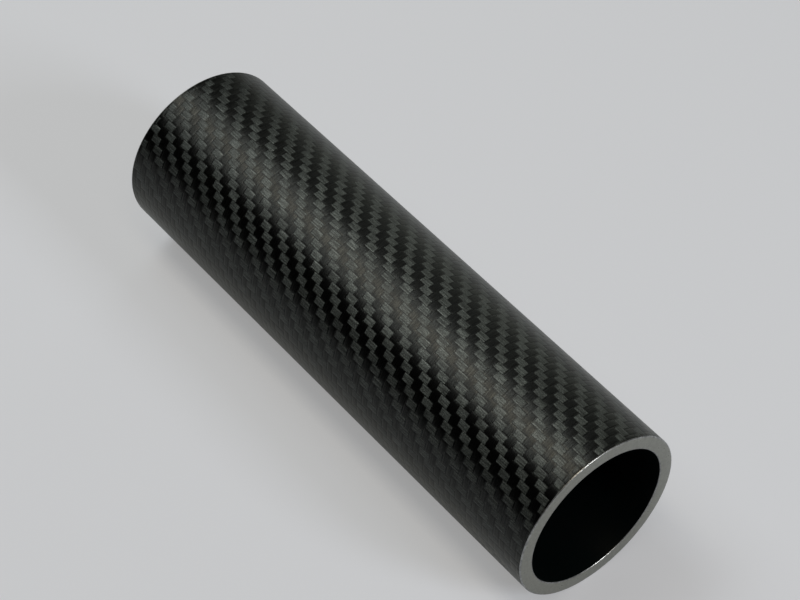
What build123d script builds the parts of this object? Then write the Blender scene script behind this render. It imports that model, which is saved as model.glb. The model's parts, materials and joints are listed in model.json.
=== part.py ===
from build123d import *
import os

# Carbon fibre tube, lying on its side with its axis along X.
# The origin is on the surface it lies on, under the middle of its length.

# Driving dimensions, in millimetres
tube_length = 167.0
outside_diameter = 50.0
wall_thickness = 4.0
outer_edge_break = 0.3
inner_edge_break = 0.3

outside_radius = outside_diameter / 2
bore_radius = outside_radius - wall_thickness

# The section stands across the middle of the tube, its centre one radius up
mid_section = Plane(origin=(0, 0, outside_radius), x_dir=(0, 1, 0), z_dir=(1, 0, 0))

# One moulded wall, cut square at both ends
with BuildPart() as tube:
    with BuildSketch(mid_section) as wall_section:
        Circle(outside_radius)
        Circle(bore_radius, mode=Mode.SUBTRACT)
    extrude(amount=tube_length / 2, both=True)

    # The saw's sharp edges are taken off, round the outside and round the bore
    end_edges = tube.edges().filter_by(GeomType.CIRCLE).group_by(Axis.X)
    rims = end_edges[0] + end_edges[-1]
    bore_rims, outer_rims = rims.group_by(SortBy.RADIUS)
    chamfer(outer_rims, length=outer_edge_break)
    chamfer(bore_rims, length=inner_edge_break)

os.makedirs("parts", exist_ok=True)
tube.part.label = "tube"
export_step(tube.part, "parts/tube.step")
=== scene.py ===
import json
import math

import bpy
import numpy as np
from mathutils import Matrix, Vector


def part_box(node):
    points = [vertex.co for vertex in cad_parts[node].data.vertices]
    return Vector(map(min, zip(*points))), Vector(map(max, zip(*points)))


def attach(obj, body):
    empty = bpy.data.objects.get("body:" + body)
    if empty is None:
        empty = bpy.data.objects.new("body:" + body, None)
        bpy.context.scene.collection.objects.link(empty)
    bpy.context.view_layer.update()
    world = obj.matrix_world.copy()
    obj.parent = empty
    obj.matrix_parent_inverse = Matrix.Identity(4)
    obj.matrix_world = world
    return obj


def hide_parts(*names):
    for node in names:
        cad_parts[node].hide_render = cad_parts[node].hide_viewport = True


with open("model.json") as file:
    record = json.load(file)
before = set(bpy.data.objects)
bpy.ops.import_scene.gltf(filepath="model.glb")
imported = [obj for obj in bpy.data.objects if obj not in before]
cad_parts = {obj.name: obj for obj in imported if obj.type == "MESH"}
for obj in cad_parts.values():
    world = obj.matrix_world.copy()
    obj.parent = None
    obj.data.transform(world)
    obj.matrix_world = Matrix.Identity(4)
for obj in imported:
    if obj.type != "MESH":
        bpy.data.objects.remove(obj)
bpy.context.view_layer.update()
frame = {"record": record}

MM = 0.001

# The tube as the frame gives it: it lies along X, on the floor at height 0
LOW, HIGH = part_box("tube")
TUBE_LENGTH = HIGH.x - LOW.x
RADIUS = HIGH.z / 2
AXIS = Vector((0.0, 0.0, RADIUS))
BORE_MOUNT = next(m for m in frame["record"]["mounts"] if m["name"] == "bore")
BORE_RADIUS = BORE_MOUNT["dims"]["r_mm"] * MM

# Its broken edges, and in how many flats each is rounded
EDGE_BREAK = 0.3 * MM
EDGE_STEPS = 4

# The outer cloth is 2x2 twill, with tows along the tube and tows round it. A tow lies over FLOAT
# crossing tows at a time, and that stretch is called a float. The pattern repeats after REPEAT.
REPEAT = 4
FLOAT = 2
TOWS_ROUND = 84
TOW_PITCH = 2.083 * MM

# It is rolled on a little askew, so each tow along the tube has moved round it by TOW_DRIFT at
# its next float. Its rows wander along the tube by ROW_BOW each way as they go round, and slant
# most at the angle BOW_MIDDLE. CLOTH_SHIFT and CLOTH_TURN put the whole cloth in its place.
TOW_DRIFT = 0.976 * MM
ROW_BOW, BOW_MIDDLE = 3.66 * MM, math.radians(-48)
CLOTH_SHIFT, CLOTH_TURN = 0.16 * MM, math.radians(-2.75)

# The drift takes back a share of each tow's width, so the tows are wider by it to close the round
TOW_WIDTH = 2 * math.pi * RADIUS / TOWS_ROUND + TOW_DRIFT / REPEAT

# The sleeve's rows, an even number with some to cut off, and its faces across one tow
ROWS = 2 * math.ceil((TUBE_LENGTH / TOW_PITCH + 2 * REPEAT) / 2)
FACETS_PER_TOW = 2

# Neighbouring floats of one direction take turns at this many numbers
TURNS = 2

# Each float stands out of the sleeve by a steep shoulder and a flatter crown
SHOULDER_WIDTH, SHOULDER_RISE = 0.18 * MM, 0.018 * MM
CROWN_WIDTH, CROWN_RISE = 0.28 * MM, 0.009 * MM
RELIEF = SHOULDER_RISE + CROWN_RISE

# How close counts as near, and as the same place, when faces and edges are picked. A face whose
# normal leans along the tube by END_SLOPE belongs to an end, and edges up to SMOOTH_ANGLE are
# shaded smooth.
NEAR_BY = 0.01 * MM
SAME_PLACE = 0.001 * MM
END_SLOPE = 0.1
SMOOTH_ANGLE = math.radians(35)

# The piece's own map, with the band that each part of the surface fills, and the cloth's map
BAKE_MAP = "OFBake"
SKIN_BAND = (0.0, 0.88)
NEAR_END_BAND = (0.89, 0.92)
FAR_END_BAND = (0.93, 0.96)
BORE_BAND = (0.97, 1.0)
CLOTH_MAP = "Cloth"

# Where these finishes stand in the tube's list, after those of the two tows
CUT_END, RUBBED_EDGE, BORE_WALL = 2, 3, 4

# The Mix node's sockets for vectors, which share their names with those for other values
MIX_FROM, MIX_TO, MIX_RESULT = 4, 5, 1

# The camera stands where the photograph's did
IMAGE_WIDTH = 800
FOCAL_PIXELS = 2296.4
SENSOR_WIDTH = 36.0
CAMERA_AZIMUTH = math.radians(51.44)
CAMERA_ELEVATION = math.radians(47.92)
CAMERA_TARGET = Vector((-3.05, 6.87, 25.0)) * MM
CAMERA_DISTANCE = 614.0 * MM

# Carbon under a thin satin coat. Light spreads across the fibres and hardly along them.
ALONG_COLOUR = (0.0343, 0.0375, 0.0356)
# The tows that go round are the same carbon, coloured darker as painted shade on top of their fibres'
# own sheen
ROUND_SHADED_COLOUR = (0.0162, 0.0171, 0.0159)
EDGE_TINT = (1.0, 1.0, 0.90)
TOW_ROUGHNESS, TOW_ROUGHNESS_SWING = 0.36, 0.06
QUARTER_TURN = 0.25
COAT_WEIGHT = 0.95
COAT_ROUGHNESS = 0.30
COAT_IOR = 1.25

# How far the brightness swings from float to float, in the fibres and in the speckle
FLOAT_TONES = (0.82, 1.18)
STREAK_TONES = (0.55, 1.45)
FILAMENT_TONES = (0.7, 1.3)
SPECKLE_TONES = (0.45, 1.55)
SPECKLE_SIZE = 0.36 * MM

# A tow's colour is brightened towards its sides: a painted highlight of its rolled edges
SIDE_HIGHLIGHT_WIDTH, SIDE_HIGHLIGHT_TONE = 0.55 * MM, 1.9
# The colour is darker in the gap beside a tow: partly the resin between tows, partly painted shade in
# the crease
SIDE_GAP, GAP_BLUR = 0.07 * MM, 0.14 * MM
ROUND_GAP_SHADE_TONE, ALONG_GAP_SHADE_TONE = 0.75, 0.3

# A tow that goes round covers this much of each end of a float along the tube
END_COVER = 0.34 * MM

# Relief too fine for the mesh: a tow rolls off at its sides and dives at its ends, its fibres
# stand out a little, and the coat follows the roll and has a fine texture of its own
TOW_ROLL_WIDTH, TOW_ROLL_DROP = 0.35 * MM, 0.022 * MM
DIVE_LENGTH, DIVE_DROP = 0.6 * MM, 0.03 * MM
STREAK_WIDTH, STREAK_LENGTH, STREAK_HEIGHT = 0.42 * MM, 5.0 * MM, 0.006 * MM
FILAMENT_WIDTH, FILAMENT_LENGTH, FILAMENT_HEIGHT = 0.11 * MM, 2.5 * MM, 0.0015 * MM
COAT_ROLL_DROP = 0.008 * MM
ORANGE_PEEL_SIZE, ORANGE_PEEL_HEIGHT = 0.38 * MM, 0.011 * MM

# The cut ends, with the plies just showing as rings
CUT_COLOUR = (0.268, 0.276, 0.244)
CUT_ROUGHNESS, CUT_ROUGHNESS_SWING = 0.30, 0.08
CUT_GLOSS = 0.9
PLY_THICKNESS, PLY_WANDER, PLY_HEIGHT = 0.25 * MM, 3.6 * MM, 0.006 * MM
PLY_TONES = (0.85, 1.15)
CUT_MOTTLE = 0.9 * MM
MOTTLE_TONES = (0.70, 1.30)
CUT_DUST, DUST_HEIGHT = 0.12 * MM, 0.004 * MM
DUST_TONES = (0.85, 1.15)

# The broken edges
RIM_COLOUR = (0.49, 0.50, 0.49)
RIM_ROUGHNESS, RIM_ROUGHNESS_SWING = 0.30, 0.1
RIM_METALLIC = 0.85
NICK_SIZE, NICK_HEIGHT = 0.9 * MM, 0.003 * MM
NICK_TONES = (0.6, 1.2)

# The bore, with the print of its wrap drawn out round it. Its near-black teal colour, darker than the
# carbon outside, is painted shade of the inside.
BORE_SHADED_COLOUR = (0.0012, 0.0032, 0.0032)
BORE_ROUGHNESS, BORE_ROUGHNESS_SWING = 0.42, 0.08
BORE_GLOSS = 0.2
WRAP_WIDTH, WRAP_LENGTH, WRAP_HEIGHT = 1.6 * MM, 6.4 * MM, 0.01 * MM
WRAP_TONES = (0.5, 1.5)

# The floor and the studio
FLOOR_SIZE = 8.0
FLOOR_COLOUR = (0.458, 0.485, 0.553)
FLOOR_ROUGHNESS = 0.9
FLOOR_LIFT = (0.307, 0.305, 0.302)
GLOSS_LIFT = 0.26
BACKDROP = (0.571, 0.584, 0.584)
LAMP_DISTANCE = 1.2
COOL_LAMP = (0.96, 1.0, 0.96)
WARM_LAMP = (1.0, 0.865, 0.665)
SIDE_LAMP = (0.94, 1.0, 0.93)
END_LAMP = (1.0, 1.0, 1.0)


def look_back(azimuth, elevation):
    """The way from what is looked at to the eye."""
    level = math.cos(elevation)
    return Vector((math.sin(azimuth) * level, -math.cos(azimuth) * level, math.sin(elevation)))


def deselect():
    """Leaves nothing selected, so that an operator acts on the new piece alone."""
    for ob in bpy.context.selected_objects:
        ob.select_set(False)


def vertex_places(mesh):
    """Every vertex's place, one row of x, y and z each."""
    places = np.empty(len(mesh.vertices) * 3)
    mesh.vertices.foreach_get("co", places)
    return places.reshape(-1, 3)


def edge_ends(mesh):
    """The numbers of every edge's two vertices."""
    ends = np.empty(len(mesh.edges) * 2, np.int32)
    mesh.edges.foreach_get("vertices", ends)
    return ends.reshape(-1, 2)


def corner_vertices(mesh):
    """The number of the vertex at every corner of every face."""
    corners = np.empty(len(mesh.loops), np.int32)
    mesh.loops.foreach_get("vertex_index", corners)
    return corners


def face_values(mesh, name, width=1):
    """One value for each face, or one row of them."""
    values = np.empty(len(mesh.polygons) * width, np.int32 if name == "material_index" else float)
    mesh.polygons.foreach_get(name, values)
    return values.reshape(-1, width) if width > 1 else values


def corner_values(mesh, name):
    """Each face's row of three values, once for each of its corners."""
    counts = face_values(mesh, "loop_total").astype(int)
    return np.repeat(face_values(mesh, name, 3), counts, axis=0)


def angle_round(places):
    """The angle about the tube's axis, from straight up towards +Y."""
    return np.arctan2(places[:, 1], places[:, 2] - RADIUS)


def reach(places):
    """The distance from the tube's axis."""
    return np.hypot(places[:, 1], places[:, 2] - RADIUS)


def select_nothing(kind):
    """Goes to edit mode, ready to select edges or faces, with nothing selected yet."""
    bpy.ops.object.mode_set(mode="EDIT")
    bpy.ops.mesh.select_mode(type=kind)
    bpy.ops.mesh.select_all(action="DESELECT")


def select_faces(mesh, chosen):
    """Selects these faces alone. Called outside edit mode."""
    select_nothing("FACE")
    bpy.ops.object.mode_set(mode="OBJECT")
    mesh.polygons.foreach_set("select", chosen)
    bpy.ops.object.mode_set(mode="EDIT")


def select_rim(mesh, plane_x):
    """Selects the open edge loop that lies at this x. Called outside edit mode."""
    select_nothing("EDGE")
    bpy.ops.mesh.select_non_manifold(extend=False)
    bpy.ops.object.mode_set(mode="OBJECT")
    near = np.abs(vertex_places(mesh)[:, 0] - plane_x) < NEAR_BY
    chosen = np.empty(len(mesh.edges), bool)
    mesh.edges.foreach_get("select", chosen)
    mesh.edges.foreach_set("select", chosen & near[edge_ends(mesh)].all(1))
    bpy.ops.object.mode_set(mode="EDIT")


def make_sleeve():
    """A plain sleeve, longer than the tube, with one ring of faces for each tow round it."""
    deselect()
    bpy.ops.mesh.primitive_cylinder_add(
        vertices=FACETS_PER_TOW * TOWS_ROUND,
        radius=RADIUS - RELIEF,
        depth=ROWS * TOW_PITCH,
        end_fill_type="NOTHING",
        location=AXIS,
        rotation=(0.0, math.pi / 2, 0.0),
    )
    sleeve = bpy.context.object
    sleeve.name = "tube_laminate"
    bpy.ops.object.transform_apply(location=True, rotation=True, scale=True)
    mesh = sleeve.data
    select_nothing("EDGE")
    bpy.ops.object.mode_set(mode="OBJECT")
    end_x = vertex_places(mesh)[edge_ends(mesh), 0]
    mesh.edges.foreach_set("select", np.abs(end_x[:, 0] - end_x[:, 1]) > TOW_PITCH)
    bpy.ops.object.mode_set(mode="EDIT")
    bpy.ops.mesh.subdivide(number_cuts=ROWS - 1)
    bpy.ops.object.mode_set(mode="OBJECT")
    return sleeve


def cloth_places(places):
    """Where points of the plain sleeve lie in the cloth: rows along the tube and tows round it."""
    row = places[:, 0] / TOW_PITCH + ROWS / 2
    tow = angle_round(places) % (2 * math.pi) / (2 * math.pi) * TOWS_ROUND
    return row, tow


def weave_classes(mesh):
    """The number of each face's float. Tows along the tube have the first ones, and tows round it
    the rest. Neighbours take turns, so that two floats of one number never touch.
    """
    middles = cloth_places(face_values(mesh, "center", 3))
    row, tow = (np.floor(value).astype(int) for value in middles)
    over = (row + tow) % REPEAT < FLOAT
    return np.where(over, tow % TURNS, TURNS + row % TURNS)


def map_cloth(mesh):
    """Writes every face's place in the cloth on a map of its own, each way from 0 to 1."""
    _, middle_tow = cloth_places(corner_values(mesh, "center"))
    row, tow = cloth_places(vertex_places(mesh)[corner_vertices(mesh)])
    half = TOWS_ROUND / 2
    tow = middle_tow + (tow - middle_tow + half) % TOWS_ROUND - half
    on_map = np.stack([row / ROWS, tow / TOWS_ROUND], 1)
    mesh.uv_layers.new(name=CLOTH_MAP).uv.foreach_set("vector", on_map.astype(np.float32).ravel())


def drift_tows(mesh):
    """Moves each tow along the tube sideways, where it is hidden under a tow that goes round.

    The rows are bowed and the whole cloth is put in its place at the same time.
    """
    row, tow = cloth_places(vertex_places(mesh))
    row = np.rint(row)
    tow = np.rint(tow * FACETS_PER_TOW) / FACETS_PER_TOW

    def side(number):
        return number * TOW_WIDTH - TOW_DRIFT * np.floor((row + number) / REPEAT)

    share = tow - np.floor(tow)
    turn = ((1 - share) * side(np.floor(tow)) + share * side(np.floor(tow) + 1)) / RADIUS
    turn += CLOTH_TURN
    radius = RADIUS - RELIEF
    places = vertex_places(mesh)
    places[:, 0] += CLOTH_SHIFT - ROW_BOW * np.sin(turn - BOW_MIDDLE)
    places[:, 1] = radius * np.sin(turn)
    places[:, 2] = RADIUS + radius * np.cos(turn)
    mesh.vertices.foreach_set("co", places.ravel())
    mesh.update()


def raise_floats(mesh):
    """Lifts each float's crown out of the sleeve, leaving a valley where one tow goes under another."""
    for number in range(2 * TURNS):
        worn = face_values(mesh, "material_index")
        select_faces(mesh, worn == number)
        bpy.ops.mesh.inset(thickness=SHOULDER_WIDTH, depth=SHOULDER_RISE, use_even_offset=True)
        bpy.ops.mesh.inset(thickness=CROWN_WIDTH, depth=CROWN_RISE, use_even_offset=True)
        bpy.ops.object.mode_set(mode="OBJECT")


def cut_to_length():
    """Cuts the sleeve square, just short of each end."""
    for side in (-1, 1):
        bpy.ops.object.mode_set(mode="EDIT")
        bpy.ops.mesh.select_all(action="SELECT")
        bpy.ops.mesh.bisect(
            plane_co=(side * (TUBE_LENGTH / 2 - EDGE_BREAK), 0.0, 0.0),
            plane_no=(side, 0.0, 0.0),
            threshold=SAME_PLACE,
            clear_outer=True,
        )
        bpy.ops.object.mode_set(mode="OBJECT")


def extrude_rim(radius_from, radius_to, step_x):
    """Carries the selected rim on to another radius and along the tube by step_x."""
    bpy.ops.mesh.extrude_region_move(TRANSFORM_OT_translate={"value": (step_x, 0.0, 0.0)})
    ratio = radius_to / radius_from
    bpy.ops.transform.resize(value=(1.0, ratio, ratio), center_override=AXIS)


def close_end(mesh, side):
    """Finishes one cut end: the rounded outer edge, the flat face and the rounded inner edge.

    Each point of a rounded edge is how far it stands in from the wall, and how far it stands out
    along the tube from where the rounding begins.
    """
    select_rim(mesh, side * (TUBE_LENGTH / 2 - EDGE_BREAK))
    angles = [math.pi / 2 * step / EDGE_STEPS for step in range(EDGE_STEPS + 1)]
    edge = [(EDGE_BREAK * (1 - math.cos(angle)), EDGE_BREAK * math.sin(angle)) for angle in angles]
    for (inset, out), (next_inset, next_out) in zip(edge, edge[1:]):
        extrude_rim(RADIUS - inset, RADIUS - next_inset, side * (next_out - out))
    extrude_rim(RADIUS - EDGE_BREAK, BORE_RADIUS + EDGE_BREAK, 0.0)
    edge.reverse()
    for (inset, out), (next_inset, next_out) in zip(edge, edge[1:]):
        extrude_rim(BORE_RADIUS + inset, BORE_RADIUS + next_inset, side * (next_out - out))
    bpy.ops.object.mode_set(mode="OBJECT")


def line_bore():
    """Joins the two inner rims with the bore's wall and turns every face outwards."""
    select_nothing("EDGE")
    bpy.ops.mesh.select_non_manifold(extend=False)
    bpy.ops.mesh.bridge_edge_loops()
    bpy.ops.mesh.select_all(action="SELECT")
    bpy.ops.mesh.normals_make_consistent(inside=False)
    bpy.ops.object.mode_set(mode="OBJECT")
    bpy.ops.object.shade_smooth_by_angle(angle=SMOOTH_ANGLE)


def put_on_band(along, across, band):
    """Places on the piece's own map. Both run from 0 to 1, and across fills only the band."""
    return np.stack([along, band[0] + (band[1] - band[0]) * across], 1)


def map_surface(mesh):
    """Lays the skin, the ends and the bore side by side on one map.

    The skin and the bore run along the tube on it, and the ends run round.
    """
    middle = corner_values(mesh, "center")
    facing = corner_values(mesh, "normal")
    places = vertex_places(mesh)[corner_vertices(mesh)]
    middle_angle = angle_round(middle)
    step = (angle_round(places) - middle_angle + math.pi) % (2 * math.pi) - math.pi
    turn = (middle_angle + step + math.pi) / (2 * math.pi)
    length = places[:, 0] / TUBE_LENGTH + 0.5
    outward = (reach(places) - BORE_RADIUS) / (RADIUS - BORE_RADIUS)
    on_map = put_on_band(length, turn, SKIN_BAND)
    inside = reach(middle) < BORE_RADIUS + NEAR_BY
    on_map = np.where(inside[:, None], put_on_band(length, turn, BORE_BAND), on_map)
    on_end = np.abs(facing[:, 0]) > END_SLOPE
    near_end = (on_end & (middle[:, 0] > TUBE_LENGTH / 2 - EDGE_BREAK))[:, None]
    far_end = (on_end & (middle[:, 0] < EDGE_BREAK - TUBE_LENGTH / 2))[:, None]
    on_map = np.where(near_end, put_on_band(turn, outward, NEAR_END_BAND), on_map)
    on_map = np.where(far_end, put_on_band(turn, outward, FAR_END_BAND), on_map)
    layer = mesh.uv_layers.new(name=BAKE_MAP)
    layer.uv.foreach_set("vector", on_map.clip(0.0, 1.0).astype(np.float32).ravel())


def dress_faces(mesh):
    """Gives each face its finish, by its number in the tube's list."""
    middles = face_values(mesh, "center", 3)
    finish = face_values(mesh, "material_index") // TURNS
    to_end = TUBE_LENGTH / 2 - np.abs(middles[:, 0])
    finish[to_end < EDGE_BREAK] = RUBBED_EDGE
    finish[to_end < SAME_PLACE] = CUT_END
    finish[reach(middles) < BORE_RADIUS + NEAR_BY] = BORE_WALL
    mesh.polygons.foreach_set("material_index", finish.astype(np.int32))


def make_tube():
    """The whole tube as one closed mesh: woven outside, cut ends and bore."""
    tube = make_sleeve()
    tube.data.polygons.foreach_set("material_index", weave_classes(tube.data))
    map_cloth(tube.data)
    drift_tows(tube.data)
    raise_floats(tube.data)
    cut_to_length()
    for side in (-1, 1):
        close_end(tube.data, side)
    line_bore()
    map_surface(tube.data)
    finishes = (
        tow_material("tow_along", ALONG_COLOUR, lies_round=False),
        tow_material("tow_round", ROUND_SHADED_COLOUR, lies_round=True),
        cut_material(),
        rim_material(),
        bore_material(),
    )
    for material in finishes:
        tube.data.materials.append(material)
    dress_faces(tube.data)
    return tube


def new_material(name, colour, roughness):
    """A material of one colour and roughness, with its node tree and its shader."""
    material = bpy.data.materials.new(name)
    material.use_nodes = True
    tree = material.node_tree
    shader = tree.nodes["Principled BSDF"]
    shader.inputs["Base Color"].default_value = (*colour, 1.0)
    shader.inputs["Roughness"].default_value = roughness
    return material, tree, shader


def feed(tree, socket, value):
    """Links value to socket, or writes it there if it is a plain number."""
    if isinstance(value, bpy.types.NodeSocket):
        tree.links.new(value, socket)
    else:
        socket.default_value = value


def calc(tree, operation, *values):
    """The result of one Math node."""
    node = tree.nodes.new("ShaderNodeMath")
    node.operation = operation
    for socket, value in zip(node.inputs, values):
        feed(tree, socket, value)
    return node.outputs["Value"]


def product(tree, first, *others):
    """All these values multiplied together."""
    for other in others:
        first = calc(tree, "MULTIPLY", first, other)
    return first


def spread(tree, value, low, high):
    """Turns a value from 0 to 1 into one from low to high."""
    return calc(tree, "MULTIPLY_ADD", value, high - low, low)


def join(tree, x, y, z=0.0):
    """A vector of three numbers."""
    node = tree.nodes.new("ShaderNodeCombineXYZ")
    for socket, value in zip(node.inputs, (x, y, z)):
        feed(tree, socket, value)
    return node.outputs["Vector"]


def scaled(tree, vector, factors):
    """The vector with each of its three numbers multiplied by its own factor."""
    node = tree.nodes.new("ShaderNodeVectorMath")
    node.operation = "MULTIPLY"
    node.inputs[1].default_value = factors
    tree.links.new(vector, node.inputs[0])
    return node.outputs["Vector"]


def grain(tree, vector, detail):
    """Noise of unit size at this place, from 0 to 1. More detail adds finer marks."""
    node = tree.nodes.new("ShaderNodeTexNoise")
    node.inputs["Scale"].default_value = 1.0
    node.inputs["Detail"].default_value = detail
    tree.links.new(vector, node.inputs["Vector"])
    return node.outputs["Fac"]


def even_grain(tree, place, size, detail):
    """Noise whose marks are of this size every way."""
    return grain(tree, scaled(tree, place, (1 / size,) * 3), detail)


def contrast(tree, value):
    """The same noise with its middle third stretched from 0 to 1."""
    node = tree.nodes.new("ShaderNodeMapRange")
    node.inputs["From Min"].default_value = 1 / 3
    node.inputs["From Max"].default_value = 2 / 3
    tree.links.new(value, node.inputs["Value"])
    return node.outputs["Result"]


def chance(tree, vector):
    """A random number from 0 to 1, the same all over one cell."""
    node = tree.nodes.new("ShaderNodeTexWhiteNoise")
    node.noise_dimensions = "2D"
    tree.links.new(vector, node.inputs["Vector"])
    return node.outputs["Value"]


def relief(tree, *layers):
    """The normal of reliefs laid over one another, each a height and the distance that 1 stands for."""
    normal = None
    for height, distance in layers:
        node = tree.nodes.new("ShaderNodeBump")
        node.inputs["Distance"].default_value = distance
        tree.links.new(height, node.inputs["Height"])
        if normal is not None:
            tree.links.new(normal, node.inputs["Normal"])
        normal = node.outputs["Normal"]
    return normal


def tint(tree, shader, colour, value):
    """Gives the shader this colour, made brighter or darker by a value."""
    node = tree.nodes.new("ShaderNodeVectorMath")
    node.operation = "SCALE"
    node.inputs[0].default_value = colour
    tree.links.new(value, node.inputs["Scale"])
    tree.links.new(node.outputs["Vector"], shader.inputs["Base Color"])


def vary_roughness(tree, shader, noise, middle, swing):
    """Makes the shader smoother where the noise is high and rougher where it is low."""
    roughness = spread(tree, noise, middle + swing, middle - swing)
    tree.links.new(roughness, shader.inputs["Roughness"])


def read_cloth_map(tree):
    """Where a point lies in the cloth, counted in tows along the tube and in tows round it."""
    place = tree.nodes.new("ShaderNodeUVMap")
    place.uv_map = CLOTH_MAP
    parts = tree.nodes.new("ShaderNodeSeparateXYZ")
    tree.links.new(place.outputs["UV"], parts.inputs["Vector"])
    along = calc(tree, "MULTIPLY", parts.outputs["X"], ROWS)
    around = calc(tree, "MULTIPLY", parts.outputs["Y"], TOWS_ROUND)
    return along, around


def float_place(tree, along, around, lies_round):
    """Where a point lies on its float, by its place in the cloth.

    Four lengths come back: down the float's tow, across the tows beside it, from the nearer end of
    the float and from the nearer side of the tow. A number for the float comes last.
    """
    if lies_round:
        lengthwise, crosswise, first = around, along, FLOAT
        cell_length, cell_width = TOW_WIDTH, TOW_PITCH
    else:
        lengthwise, crosswise, first = along, around, 0
        cell_length, cell_width = TOW_PITCH, TOW_WIDTH
    tow = calc(tree, "FLOOR", crosswise)
    shifted = calc(tree, "ADD", lengthwise, tow)
    along_float = calc(tree, "SUBTRACT", calc(tree, "FLOORED_MODULO", shifted, REPEAT), first)
    from_end = calc(tree, "MINIMUM", along_float, calc(tree, "SUBTRACT", FLOAT, along_float))
    across_tow = calc(tree, "FRACT", crosswise)
    from_side = calc(tree, "MINIMUM", across_tow, calc(tree, "SUBTRACT", 1.0, across_tow))
    number = join(tree, calc(tree, "FLOOR", calc(tree, "DIVIDE", shifted, REPEAT)), tow)
    return (
        product(tree, lengthwise, cell_length),
        product(tree, crosswise, cell_width),
        product(tree, from_end, cell_length),
        product(tree, from_side, cell_width),
        number,
    )


def fibre_grain(tree, down, across, length, width):
    """Noise drawn out along a tow's fibres, with marks of this length and width."""
    place = join(tree, calc(tree, "DIVIDE", down, length), calc(tree, "DIVIDE", across, width))
    return grain(tree, place, detail=1.0)


def fall_off(tree, distance, width):
    """1 at an edge, falling smoothly to 0 at this width from it."""
    left = calc(tree, "SUBTRACT", 1.0, calc(tree, "DIVIDE", distance, width))
    return calc(tree, "POWER", calc(tree, "MAXIMUM", left, 0.0), 2.0)


def near_edge(tree, distance, width, blur):
    """1 up to this distance from an edge, then falling to 0 over the blur."""
    left = calc(tree, "DIVIDE", calc(tree, "SUBTRACT", width + blur, distance), blur)
    return calc(tree, "MINIMUM", calc(tree, "MAXIMUM", left, 0.0), 1.0)


def way_along(tree):
    """The way along the tube, on the surface."""
    tangent = tree.nodes.new("ShaderNodeTangent")
    tangent.direction_type = "UV_MAP"
    tangent.uv_map = BAKE_MAP
    return tangent.outputs["Tangent"]


def turn_square(tree, way, share):
    """The same way where the share is 0, and square to it on the surface where the share is 1."""
    surface = tree.nodes.new("ShaderNodeNewGeometry")
    square = tree.nodes.new("ShaderNodeVectorMath")
    square.operation = "CROSS_PRODUCT"
    tree.links.new(surface.outputs["Normal"], square.inputs[0])
    tree.links.new(way, square.inputs[1])
    mix = tree.nodes.new("ShaderNodeMix")
    mix.data_type = "VECTOR"
    tree.links.new(share, mix.inputs["Factor"])
    tree.links.new(way, mix.inputs[MIX_FROM])
    tree.links.new(square.outputs["Vector"], mix.inputs[MIX_TO])
    return mix.outputs[MIX_RESULT]


def coat_fibres(shader, fibre_turn):
    """Makes the shader a metal that spreads light across its fibres, under a thin satin coat."""
    shader.inputs["Metallic"].default_value = 1.0
    shader.inputs["Specular Tint"].default_value = (*EDGE_TINT, 1.0)
    shader.inputs["Anisotropic"].default_value = 1.0
    shader.inputs["Anisotropic Rotation"].default_value = fibre_turn
    shader.inputs["Coat Weight"].default_value = COAT_WEIGHT
    shader.inputs["Coat Roughness"].default_value = COAT_ROUGHNESS
    shader.inputs["Coat IOR"].default_value = COAT_IOR


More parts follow.
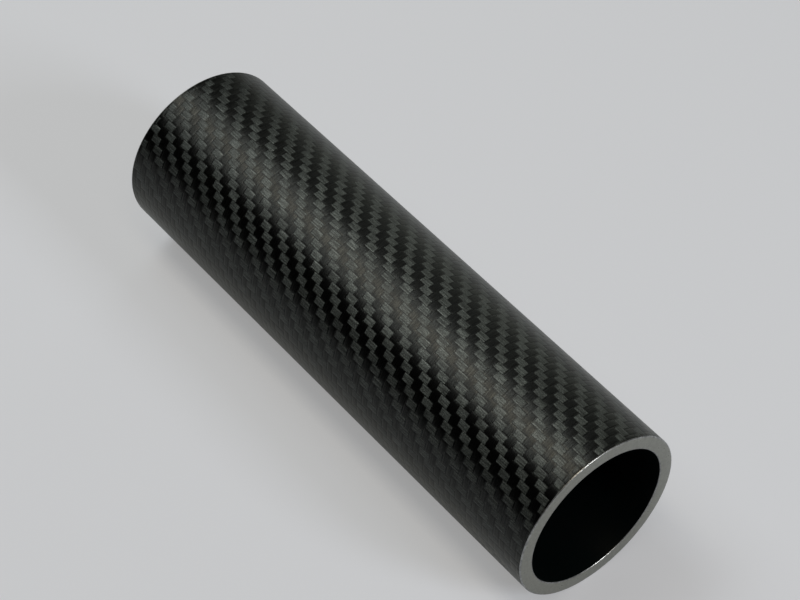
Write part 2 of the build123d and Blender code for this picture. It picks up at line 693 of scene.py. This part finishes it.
def tow_material(name, colour, lies_round):
    """Fibres laid one way under a satin coat, rolled off at the tow's sides and diving at its ends.

    The ends of a float along the tube are covered by the tows that cross it, so there it takes their
    darker colour, which is partly painted shade, and the way of their fibres.
    """
    material, tree, shader = new_material(name, colour, TOW_ROUGHNESS)

    along, around = read_cloth_map(tree)
    down, across, from_end, from_side, number = float_place(tree, along, around, lies_round)
    streaks = fibre_grain(tree, down, across, STREAK_LENGTH, STREAK_WIDTH)
    filaments = fibre_grain(tree, down, across, FILAMENT_LENGTH, FILAMENT_WIDTH)
    place = join(tree, product(tree, along, TOW_PITCH), product(tree, around, TOW_WIDTH))
    peel = even_grain(tree, place, ORANGE_PEEL_SIZE, detail=3.0)
    speckle = even_grain(tree, place, SPECKLE_SIZE, detail=2.0)

    # Painted highlight: the colour brightens towards the tow's sides
    side_highlight = fall_off(tree, from_side, SIDE_HIGHLIGHT_WIDTH)
    # Darker gap beside the tow: partly resin, partly painted shade
    side_gap_shade = near_edge(tree, from_side, SIDE_GAP, GAP_BLUR)
    brightness = product(
        tree,
        spread(tree, chance(tree, number), *FLOAT_TONES),
        spread(tree, contrast(tree, streaks), *STREAK_TONES),
        spread(tree, contrast(tree, filaments), *FILAMENT_TONES),
        spread(tree, contrast(tree, speckle), *SPECKLE_TONES),
        spread(tree, side_highlight, 1.0, SIDE_HIGHLIGHT_TONE),
        spread(tree, side_gap_shade, 1.0, ROUND_GAP_SHADE_TONE if lies_round else ALONG_GAP_SHADE_TONE),
    )
    way = way_along(tree)
    if not lies_round:
        covered = near_edge(tree, from_end, END_COVER, GAP_BLUR)
        # The covered ends take the round tows' darker colour, which is partly painted shade
        crossing_shaded_tone = ROUND_SHADED_COLOUR[1] / colour[1]
        brightness = product(tree, brightness, spread(tree, covered, 1.0, crossing_shaded_tone))
        way = turn_square(tree, way, covered)
    tint(tree, shader, colour, brightness)
    vary_roughness(tree, shader, streaks, TOW_ROUGHNESS, TOW_ROUGHNESS_SWING)

    roll = fall_off(tree, from_side, TOW_ROLL_WIDTH)
    dive = fall_off(tree, from_end, DIVE_LENGTH)
    tow_normal = relief(
        tree,
        (roll, -TOW_ROLL_DROP),
        (dive, -DIVE_DROP),
        (streaks, STREAK_HEIGHT),
        (filaments, FILAMENT_HEIGHT),
    )
    coat_normal = relief(tree, (roll, -COAT_ROLL_DROP), (peel, ORANGE_PEEL_HEIGHT))
    tree.links.new(tow_normal, shader.inputs["Normal"])
    tree.links.new(coat_normal, shader.inputs["Coat Normal"])
    tree.links.new(way, shader.inputs["Tangent"])
    coat_fibres(shader, 0.0 if lies_round else QUARTER_TURN)
    return material


def tube_place(tree):
    """The point on the piece, with the tube's axis moved to the middle of the pattern."""
    place = tree.nodes.new("ShaderNodeTexCoord")
    centred = tree.nodes.new("ShaderNodeMapping")
    centred.inputs["Location"].default_value = -AXIS
    tree.links.new(place.outputs["Object"], centred.inputs["Vector"])
    return centred.outputs["Vector"]


def from_axis(tree, place):
    """The distance from the tube's axis."""
    node = tree.nodes.new("ShaderNodeVectorMath")
    node.operation = "LENGTH"
    tree.links.new(scaled(tree, place, (0.0, 1.0, 1.0)), node.inputs[0])
    return node.outputs["Value"]


def cut_material():
    """Sawn and sanded laminate: pale grey, its plies just showing as rings."""
    material, tree, shader = new_material("cut_end", CUT_COLOUR, CUT_ROUGHNESS)
    place = tube_place(tree)
    plies = calc(tree, "DIVIDE", from_axis(tree, place), PLY_THICKNESS)
    wander = even_grain(tree, place, PLY_WANDER, detail=2.0)
    ring = grain(tree, join(tree, calc(tree, "ADD", plies, wander), 0.0), detail=1.0)
    mottle = even_grain(tree, place, CUT_MOTTLE, detail=4.0)
    dust = even_grain(tree, place, CUT_DUST, detail=2.0)
    light = product(
        tree,
        spread(tree, mottle, *MOTTLE_TONES),
        spread(tree, ring, *PLY_TONES),
        spread(tree, dust, *DUST_TONES),
    )
    tint(tree, shader, CUT_COLOUR, light)
    vary_roughness(tree, shader, mottle, CUT_ROUGHNESS, CUT_ROUGHNESS_SWING)
    tree.links.new(relief(tree, (ring, PLY_HEIGHT), (dust, DUST_HEIGHT)), shader.inputs["Normal"])
    shader.inputs["Specular IOR Level"].default_value = CUT_GLOSS
    return material


def rim_material():
    """The broken edges, rubbed bright by the sanding."""
    material, tree, shader = new_material("rubbed_edge", RIM_COLOUR, RIM_ROUGHNESS)
    nicks = even_grain(tree, tube_place(tree), NICK_SIZE, detail=4.0)
    tint(tree, shader, RIM_COLOUR, spread(tree, contrast(tree, nicks), *NICK_TONES))
    vary_roughness(tree, shader, nicks, RIM_ROUGHNESS, RIM_ROUGHNESS_SWING)
    tree.links.new(relief(tree, (nicks, NICK_HEIGHT)), shader.inputs["Normal"])
    shader.inputs["Metallic"].default_value = RIM_METALLIC
    return material


def bore_material():
    """The bore as it left the mandrel, with the faint print of the inner wrap. It is coloured almost
    black with a teal cast, darker than the carbon outside, as painted shade of the inside.
    """
    material, tree, shader = new_material("bore_wall", BORE_SHADED_COLOUR, BORE_ROUGHNESS)
    factors = (1 / WRAP_WIDTH, 1 / WRAP_LENGTH, 1 / WRAP_LENGTH)
    wrap = grain(tree, scaled(tree, tube_place(tree), factors), detail=3.0)
    tint(tree, shader, BORE_SHADED_COLOUR, spread(tree, wrap, *WRAP_TONES))
    vary_roughness(tree, shader, wrap, BORE_ROUGHNESS, BORE_ROUGHNESS_SWING)
    tree.links.new(relief(tree, (wrap, WRAP_HEIGHT)), shader.inputs["Normal"])
    shader.inputs["Specular IOR Level"].default_value = BORE_GLOSS
    return material


def floor_material():
    """Pale matt paper, lifted a little for the eye and by a share of that for gloss.

    The lift lights nothing else, so the shadow stays.
    """
    material, tree, shader = new_material("floor", FLOOR_COLOUR, FLOOR_ROUGHNESS)
    shader.inputs["Specular IOR Level"].default_value = 0.0
    path = tree.nodes.new("ShaderNodeLightPath")
    in_gloss = calc(tree, "MULTIPLY", path.outputs["Is Glossy Ray"], GLOSS_LIFT)
    seen = calc(tree, "MAXIMUM", path.outputs["Is Camera Ray"], in_gloss)
    shader.inputs["Emission Color"].default_value = (*FLOOR_LIFT, 1.0)
    tree.links.new(seen, shader.inputs["Emission Strength"])
    return material


def lay_floor():
    """The surface that the tube lies on, which is no part of the object."""
    deselect()
    bpy.ops.mesh.primitive_plane_add(size=FLOOR_SIZE, location=(0.0, 0.0, 0.0))
    floor = bpy.context.object
    floor.name = "floor"
    floor.data.materials.append(floor_material())


def hang_lamp(name, colour, lean, turn, wide, long, glow):
    """A soft box facing the tube.

    lean is how far it stands along the tube, as a share of its distance, and turn is its angle round
    the tube from straight up. wide is its size round the tube and long its size along it, as angles
    seen from the tube, and glow is its brightness, where 1 is white.
    """
    level = math.sqrt(1 - lean * lean)
    turn = math.radians(turn)
    outward = Vector((lean, level * math.sin(turn), level * math.cos(turn)))
    sideways = Vector((0.0, math.cos(turn), -math.sin(turn)))
    facing = Matrix((sideways, outward.cross(sideways), outward)).transposed()
    data = bpy.data.lights.new(name, "AREA")
    data.shape = "RECTANGLE"
    data.size = 2 * LAMP_DISTANCE * math.tan(math.radians(wide) / 2)
    data.size_y = 2 * LAMP_DISTANCE * math.tan(math.radians(long) / 2)
    data.color = colour
    data.energy = glow * math.pi * data.size * data.size_y
    lamp = bpy.data.objects.new(name, data)
    lamp.location = AXIS + outward * LAMP_DISTANCE
    lamp.rotation_mode = "QUATERNION"
    lamp.rotation_quaternion = facing.to_quaternion()
    bpy.context.scene.collection.objects.link(lamp)


def hang_lamps():
    """Four soft boxes: over the far end, along the top, beside the tube and past its near end."""
    hang_lamp("broad_box", COOL_LAMP, lean=-0.516, turn=-9.0, wide=42.0, long=26.0, glow=2.75)
    hang_lamp("top_strip", WARM_LAMP, lean=-0.02, turn=-9.0, wide=14.0, long=71.0, glow=2.15)
    hang_lamp("side_box", SIDE_LAMP, lean=-0.49, turn=58.0, wide=74.0, long=22.0, glow=0.5)
    hang_lamp("end_box", END_LAMP, lean=0.85, turn=28.0, wide=12.0, long=16.0, glow=18.0)


def make_world():
    """Lamps do all the lighting. Only the eye sees the pale backdrop past the floor."""
    world = bpy.data.worlds.new("studio")
    bpy.context.scene.world = world
    world.use_nodes = True
    tree = world.node_tree
    backdrop = tree.nodes["Background"]
    backdrop.inputs["Color"].default_value = (*BACKDROP, 1.0)
    path = tree.nodes.new("ShaderNodeLightPath")
    tree.links.new(path.outputs["Is Camera Ray"], backdrop.inputs["Strength"])


def place_camera():
    """A camera that looks at the target from where the photograph was taken."""
    back = look_back(CAMERA_AZIMUTH, CAMERA_ELEVATION)
    data = bpy.data.cameras.new("camera")
    data.sensor_width = SENSOR_WIDTH
    data.lens = FOCAL_PIXELS * SENSOR_WIDTH / IMAGE_WIDTH
    camera = bpy.data.objects.new("camera", data)
    camera.rotation_mode = "QUATERNION"
    camera.rotation_quaternion = (-back).to_track_quat("-Z", "Y")
    camera.location = CAMERA_TARGET + back * CAMERA_DISTANCE
    bpy.context.scene.collection.objects.link(camera)
    bpy.context.scene.camera = camera


tube = make_tube()
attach(tube, "root")
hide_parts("tube")
lay_floor()
hang_lamps()
make_world()
place_camera()
bpy.context.scene.view_settings.view_transform = "Standard"
